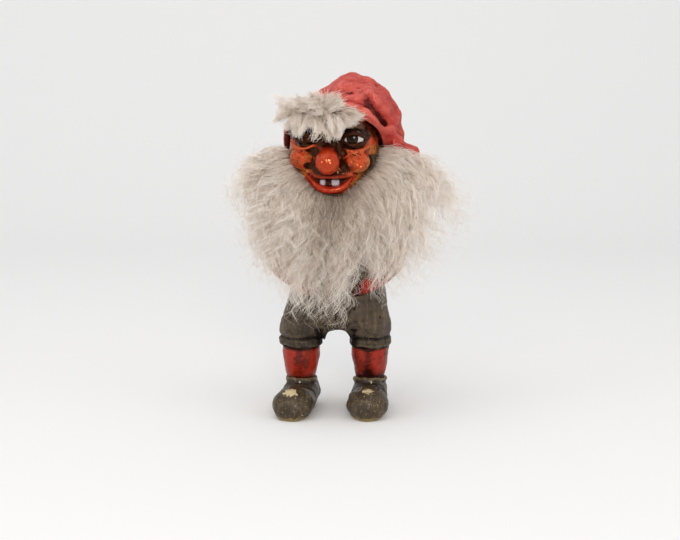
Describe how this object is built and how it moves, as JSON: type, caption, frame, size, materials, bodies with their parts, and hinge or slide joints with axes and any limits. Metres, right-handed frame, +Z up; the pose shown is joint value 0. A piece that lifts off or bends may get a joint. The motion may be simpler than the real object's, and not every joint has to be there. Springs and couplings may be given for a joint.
{
  "type": "tomte figurine",
  "caption": "Standing carved house gnome with a turning head, glass eyes, ball nose, long curly wool beard, red hat, knee breeches and clogs.",
  "frame": {"origin": "on the ground under the soles, in the middle of the footprint of the whole figure with its beard", "axes": "+Z up through the hat, -Y the way the tomte's body faces, +X to the tomte's own left"},
  "size_m": [0.141, 0.0768, 0.2083],
  "materials": {
    "painted_breeches": "thin dark olive-brown paint with black wash in the creases, worn satin",
    "painted_red": "red paint over wood with a dark wash, satin",
    "painted_skin": "red-orange flesh paint, antiqued dark in the hollows and varnished to a gloss",
    "painted_hat": "matt red paint, rubbed dark along the folds",
    "painted_clog": "grey-brown paint, worn to pale wood on the toes",
    "beech": "plain turned beech",
    "eye_glass": "solid dark brown glass with painted white corners, polished",
    "tooth": "off-white paint, varnished",
    "wool": "uncut grey-beige curly wool",
    "hide": "tanned skin side of the wool, matt"
  },
  "bodies": {
    "body": {"ankle_dowel_left": "beech", "ankle_dowel_right": "beech", "breeches": "painted_breeches", "clog_left": "painted_clog", "clog_right": "painted_clog", "knee_dowel_left": "beech", "knee_dowel_right": "beech", "shirt": "painted_red", "shoulder_dowel_left": "beech", "shoulder_dowel_right": "beech", "sleeve_left": "painted_red", "sleeve_right": "painted_red", "stocking_left": "painted_red", "stocking_right": "painted_red", "waist_dowel": "beech"},
    "head": {"beard_chin": "wool", "beard_left": "wool", "beard_right": "wool", "eye_left": "eye_glass", "eye_right": "eye_glass", "forelock": "wool", "hat": "painted_hat", "head": "painted_skin", "hide_brow": "hide", "hide_chin": "hide", "hide_left": "hide", "hide_right": "hide", "neck_dowel": "beech", "nose": "painted_skin", "tooth_left": "tooth", "tooth_right": "tooth"}
  },
  "joints": [
    {"name": "head_turn", "type": "hinge", "parent": "body", "child": "head", "pos_m": [-0.0055, 0.0056, 0.13], "axis": [0, 0, 1], "range_deg": [-20, 20], "deforming": ["beard_chin", "beard_left", "beard_right"]}
  ]
}
